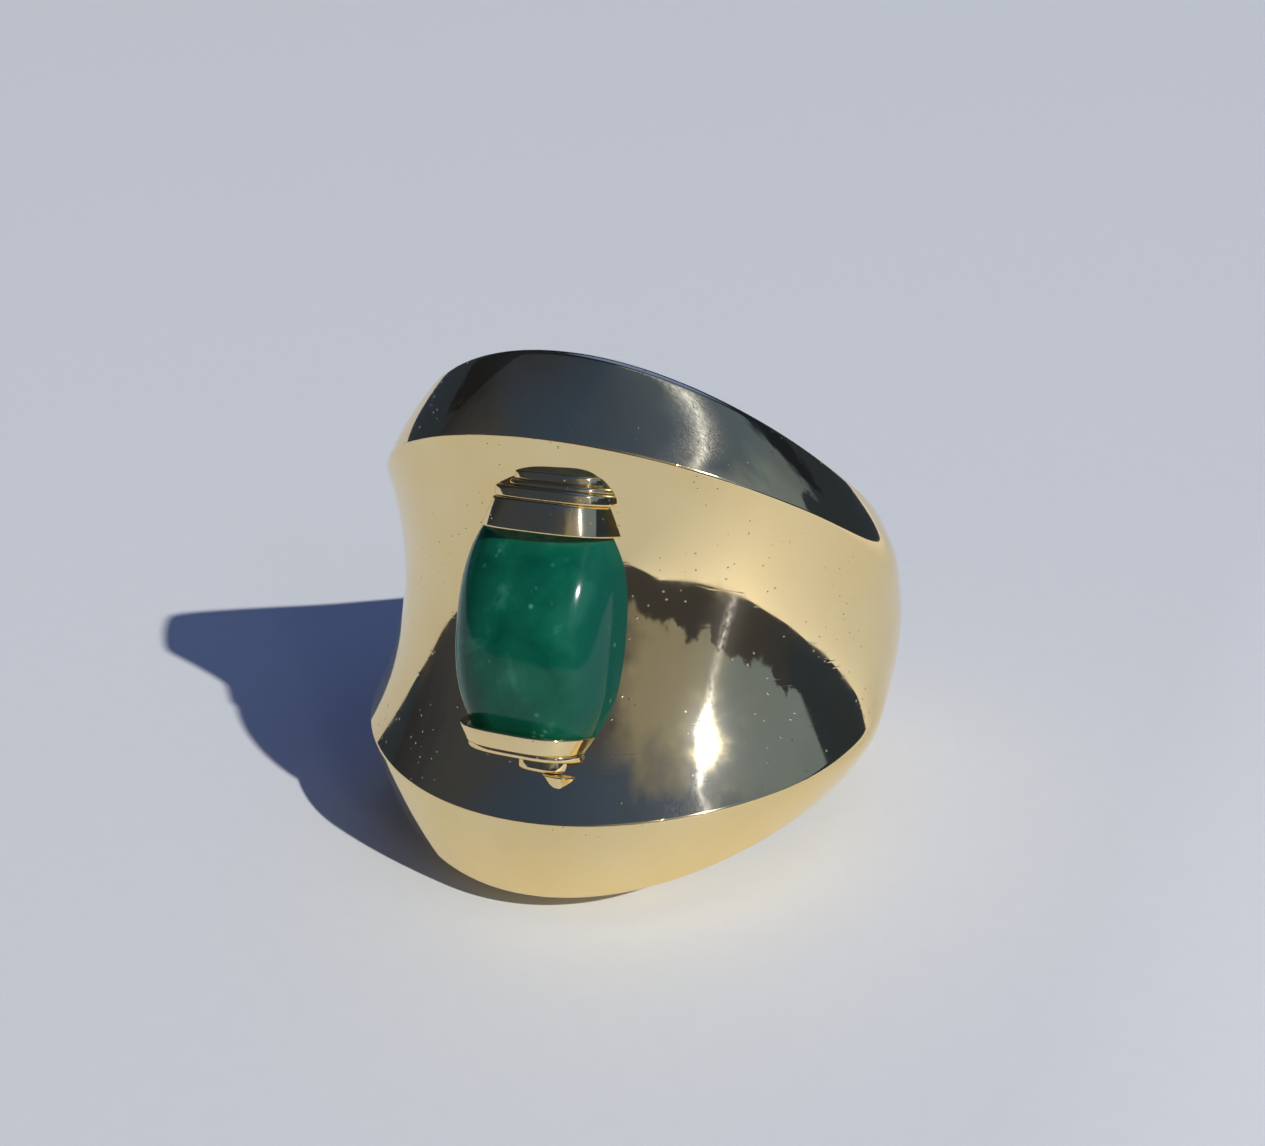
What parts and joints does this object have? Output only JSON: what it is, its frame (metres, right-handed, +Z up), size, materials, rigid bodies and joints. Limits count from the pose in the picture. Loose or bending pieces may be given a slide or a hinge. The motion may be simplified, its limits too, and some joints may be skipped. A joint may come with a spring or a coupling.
{
  "type": "cocktail ring",
  "caption": "Wide tapering finger ring with a hollowed channel round its face, bevelled sides and a domed green cabochon held between stepped end bars.",
  "frame": {"origin": "centre of the finger bore, midway across the band", "axes": "+Z up with the ring lying on its side on a table, the face towards -Y and tilted up, X across the ring so that the two halves of the band mirror in X = 0"},
  "size_m": [0.0242, 0.0262, 0.0222],
  "materials": {
    "gold": "polished",
    "emerald": "gloss"
  },
  "bodies": {
    "root": {"finger_sleeve": "gold", "front_channel": "gold", "upper_side_panel": "gold", "lower_side_panel": "gold", "back_shank": "gold", "stone_seat": "gold", "upper_bar_step_1": "gold", "upper_bar_step_2": "gold", "upper_bar_step_3": "gold", "upper_bar_step_4": "gold", "lower_bar_step_1": "gold", "lower_bar_step_2": "gold", "lower_bar_step_3": "gold", "lower_bar_step_4": "gold", "emerald_cabochon": "emerald"}
  },
  "joints": []
}
